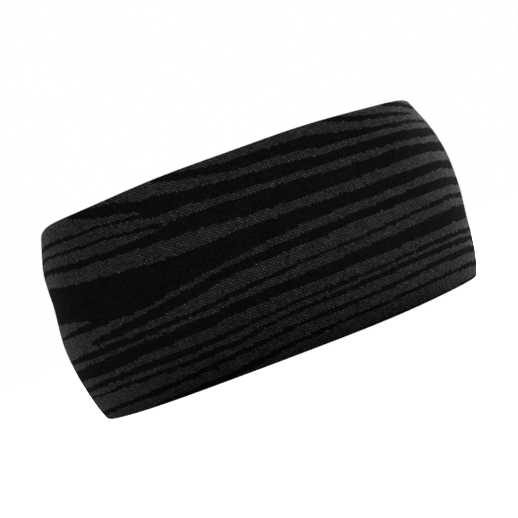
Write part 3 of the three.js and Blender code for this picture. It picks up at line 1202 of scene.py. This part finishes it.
def fibre_tree():
    sockets = {
        "Density": "NodeSocketFloat",
        "Seed": "NodeSocketInt",
        "Lean": "NodeSocketFloat",
        "Fibre": "NodeSocketObject",
        "Wool": "NodeSocketMaterial",
    }
    tree, given, result = tree_with("fibres over cloth", sockets)
    shown = tree.nodes.new("GeometryNodeInputNamedAttribute")
    shown.inputs["Name"].default_value = "shows"
    scatter = tree.nodes.new("GeometryNodeDistributePointsOnFaces")
    fibre = tree.nodes.new("GeometryNodeObjectInfo")
    lean = tree.nodes.new("FunctionNodeRandomValue")
    lean.data_type = "FLOAT_VECTOR"
    low = tree.nodes.new("ShaderNodeCombineXYZ")
    high = tree.nodes.new("ShaderNodeCombineXYZ")
    back = tree.nodes.new("ShaderNodeMath")
    back.operation = "MULTIPLY"
    back.inputs[1].default_value = -1
    low.inputs["Z"].default_value = -math.pi
    high.inputs["Z"].default_value = math.pi
    turn = tree.nodes.new("FunctionNodeEulerToRotation")
    both = tree.nodes.new("FunctionNodeRotateRotation")
    both.rotation_space = "LOCAL"
    size = tree.nodes.new("FunctionNodeRandomValue")
    size.inputs[2].default_value = SMALLEST_FIBRE
    size.inputs[3].default_value = LARGEST_FIBRE
    copies = tree.nodes.new("GeometryNodeInstanceOnPoints")
    real = tree.nodes.new("GeometryNodeRealizeInstances")
    finish = tree.nodes.new("GeometryNodeSetMaterial")
    wire(tree, [
        (given, "Geometry", scatter, "Mesh"), (shown, "Attribute", scatter, "Selection"),
        (given, "Density", scatter, "Density"), (given, "Seed", scatter, "Seed"),
        (given, "Fibre", fibre, "Object"), (given, "Lean", back, 0),
    ])
    for axis in ("X", "Y"):
        link(tree, back.outputs[0], low.inputs[axis])
        link(tree, given.outputs["Lean"], high.inputs[axis])
    wire(tree, [
        (low, 0, lean, 0), (high, 0, lean, 1), (given, "Seed", lean, "Seed"), (lean, 0, turn, 0),
        (scatter, "Rotation", both, "Rotation"), (turn, 0, both, "Rotate By"),
        (scatter, "Points", copies, "Points"), (fibre, "Geometry", copies, "Instance"),
        (both, 0, copies, "Rotation"), (size, 1, copies, "Scale"),
        (copies, "Instances", real, "Geometry"), (real, "Geometry", finish, "Geometry"),
        (given, "Wool", finish, "Material"), (finish, "Geometry", result, "Geometry"),
    ])
    return tree


def bent_fibre():
    bend = np.linspace(0, 1, 4)
    path = np.stack([0.45 * bend**2, 0.12 * np.sin(3 * bend), 0.62 * bend], 1) * FIBRE_LENGTH
    radii = FIBRE_RADIUS * np.array([1, 1, 0.85, 0.3])
    return tubes("bent_fibre", [(path, radii)], 3)


def long_hair():
    """A longer loose hair in a gentle arc, lying almost flat."""
    along = np.linspace(0, 1, 8)
    x = along - 0.5
    y = 0.16 * np.sin(2.4 * along) + 0.03 * np.sin(9 * along)
    z = 0.06 * np.sin(3.1 * along) + 0.01
    return tubes("long_hair", [(np.stack([x, y, z], 1) * HAIR_LENGTH, np.full(8, HAIR_RADIUS))], 3)


FIBRE_TREE = fibre_tree()
fibre_shape = bent_fibre()
hair_shape = long_hair()


def fibres_on(name, cloth, density, seed, shape=fibre_shape, lean=FIBRE_LEAN, wool=FIBRE):
    values = {"Density": density, "Seed": seed, "Lean": lean, "Fibre": shape, "Wool": wool}
    return made_by(name, cloth, FIBRE_TREE, values)


outer_fibres = fibres_on("outer_band_fibres", outer_band, OUTER_FIBRES, 4)
outer_hairs = fibres_on("outer_band_loose_hairs", outer_band, OUTER_HAIRS, 21, hair_shape, HAIR_LEAN, HAIR)
lining_fibres = fibres_on("lining_fibres", lining, LINING_FIBRES, 9)
bpy.data.objects.remove(fibre_shape)
bpy.data.objects.remove(hair_shape)
for piece in (outer_fibres, outer_hairs, lining_fibres):
    print(piece.name, "faces", len(piece.data.polygons))

# %% [markdown]
# ## Bodies and hidden parts
#
# The cloths, seams and fibres belong to the band. The label's top is sewn to it and
# its flap lifts; here its tape keeps its place, with its transform baked in. The
# frame's own parts are hidden, since the pieces made here stand in for them.

for piece in (outer_band, lining, upper_seam, lower_seam, outer_seam, lining_seam, label_seam):
    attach(piece, "band")
for piece in (outer_fibres, outer_hairs, lining_fibres):
    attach(piece, "band")
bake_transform(care_label)
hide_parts("outer_band")
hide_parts("lining_band")
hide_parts("upper_edge_seam_thread")
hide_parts("lower_edge_seam_thread")
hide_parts("outer_back_seam_thread")
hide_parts("lining_back_seam_thread")
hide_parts("care_label_flap", "care_label_sewn_edge")
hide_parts("care_label_stitching")

# %% [markdown]
# ## Floor and light
#
# A pale floor and a white surround stand in for a light tent. They look white to the
# camera but cast much less light (Light Path, Is Camera Ray), so black wool stays
# black. Soft boxes above and behind both ends graze the wool and lift its outline,
# which also makes the band brighter when it is seen from behind.

# %% Stage and lights
FLOOR_HALF = 4.0
FLOOR_GLOW = 0.92
SURROUND_SEEN = 1.0
SURROUND_CAST = 0.27
# Each soft box: name, place in metres, size in metres, power in watts.
SOFT_BOXES = [
    ("overhead", (0.05, 0.0, 0.75), 0.5, 1.3),
    ("right_behind", (0.59, 0.37, 0.30), 0.35, 27.0),
    ("left_behind", (-0.27, 0.61, 0.30), 0.35, 10.5),
]


def brighter_seen(tree, seen, cast):
    """A strength that the camera sees as one value while the object is lit by another."""
    path = tree.nodes.new("ShaderNodeLightPath")
    return maths(tree, "MULTIPLY_ADD", path.outputs["Is Camera Ray"], seen - cast, cast)


def make_floor():
    half = FLOOR_HALF
    mesh = bpy.data.meshes.new("floor")
    corners = [(-half, -half, 0), (half, -half, 0), (half, half, 0), (-half, half, 0)]
    mesh.from_pydata(corners, [], [(0, 1, 2, 3)])
    floor = placed("floor", mesh)
    material, tree, shader = new_material("pale_floor")
    shader.inputs["Base Color"].default_value = (0.5, 0.5, 0.5, 1)
    shader.inputs["Roughness"].default_value = 0.9
    shader.inputs["Specular IOR Level"].default_value = 0.1
    shader.inputs["Emission Color"].default_value = (1, 1, 1, 1)
    glow = brighter_seen(tree, FLOOR_GLOW, 0.0)
    link(tree, glow, shader.inputs["Emission Strength"])
    mesh.materials.append(material)


def soft_box(name, spot, aim, size, power):
    light = bpy.data.lights.new(name, "AREA")
    light.size = size
    light.energy = power
    lamp = placed(name, light)
    lamp.location = spot
    lamp.rotation_euler = (Vector(aim) - Vector(spot)).to_track_quat("-Z", "Y").to_euler()


def white_surround():
    world = bpy.data.worlds.new("surround")
    world.use_nodes = True
    background = world.node_tree.nodes["Background"]
    background.inputs["Color"].default_value = (1, 1, 1, 1)
    strength = brighter_seen(world.node_tree, SURROUND_SEEN, SURROUND_CAST)
    world.node_tree.links.new(strength, background.inputs["Strength"])
    bpy.context.scene.world = world


make_floor()
white_surround()
middle = (0, 0, HEIGHT / 2)
for name, spot, size, power in SOFT_BOXES:
    soft_box(name, spot, middle, size, power)
bpy.context.scene.view_settings.view_transform = "Standard"
bpy.context.scene.view_settings.look = "None"
